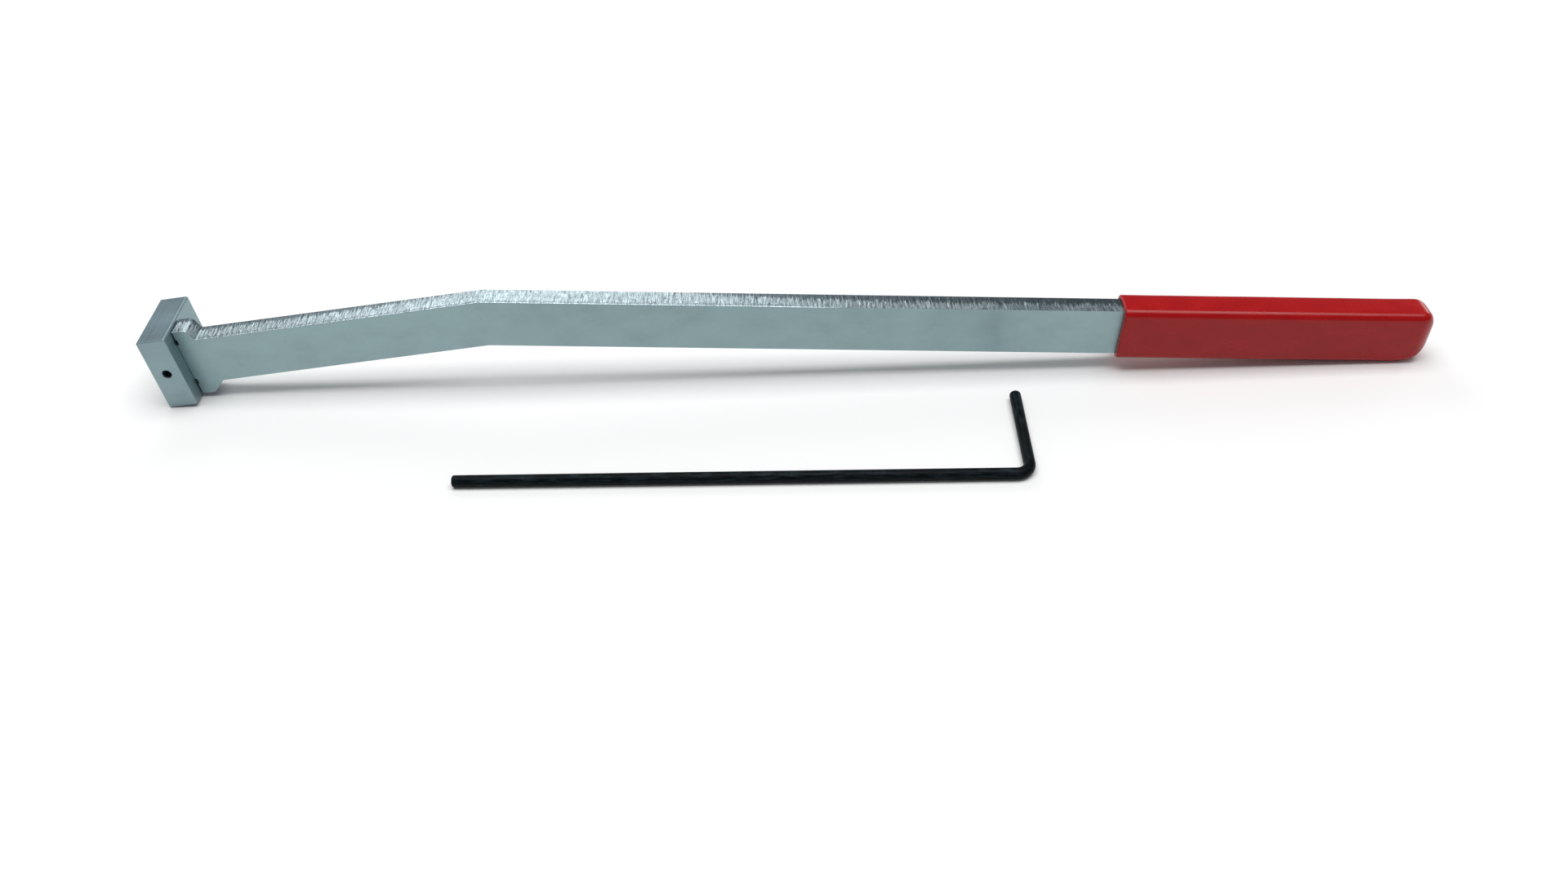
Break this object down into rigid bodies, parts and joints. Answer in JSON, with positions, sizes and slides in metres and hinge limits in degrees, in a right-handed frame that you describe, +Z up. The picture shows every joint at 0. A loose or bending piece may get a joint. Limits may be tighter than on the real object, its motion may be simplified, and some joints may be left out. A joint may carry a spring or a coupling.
{
  "type": "lever wrench with locking pin",
  "caption": "Cranked flat-bar lever wrench with a pinned rectangular head block and a dipped grip, with its loose L-shaped locking pin.",
  "frame": {"origin": "centre of the whole set's footprint, on the surface that the lever and the locking pin rest on", "axes": "+X along the lever from the head block to the grip, +Y from the locking pin towards the lever, +Z up"},
  "size_m": [0.5688, 0.0992, 0.0469],
  "materials": {
    "satin_steel_plate": "satin plate with rough-cut edges",
    "milled_steel_block": "milled, deburred",
    "dark_spring_steel": "dark hardened steel",
    "red_dipped_vinyl": "glossy dipped coating",
    "black_oxide_rod": "black oxide, semi-gloss"
  },
  "bodies": {
    "lever": {"lever_bar": "satin_steel_plate", "head_block": "milled_steel_block", "cross_pin": "dark_spring_steel", "handle_grip": "red_dipped_vinyl"},
    "loose_pin": {"locking_pin": "black_oxide_rod"}
  },
  "joints": [
    {"name": "locking_pin_lift", "type": "slide", "parent": "lever", "child": "loose_pin", "axis": [0, 0, 1], "range_m": [0, 0.15]}
  ]
}
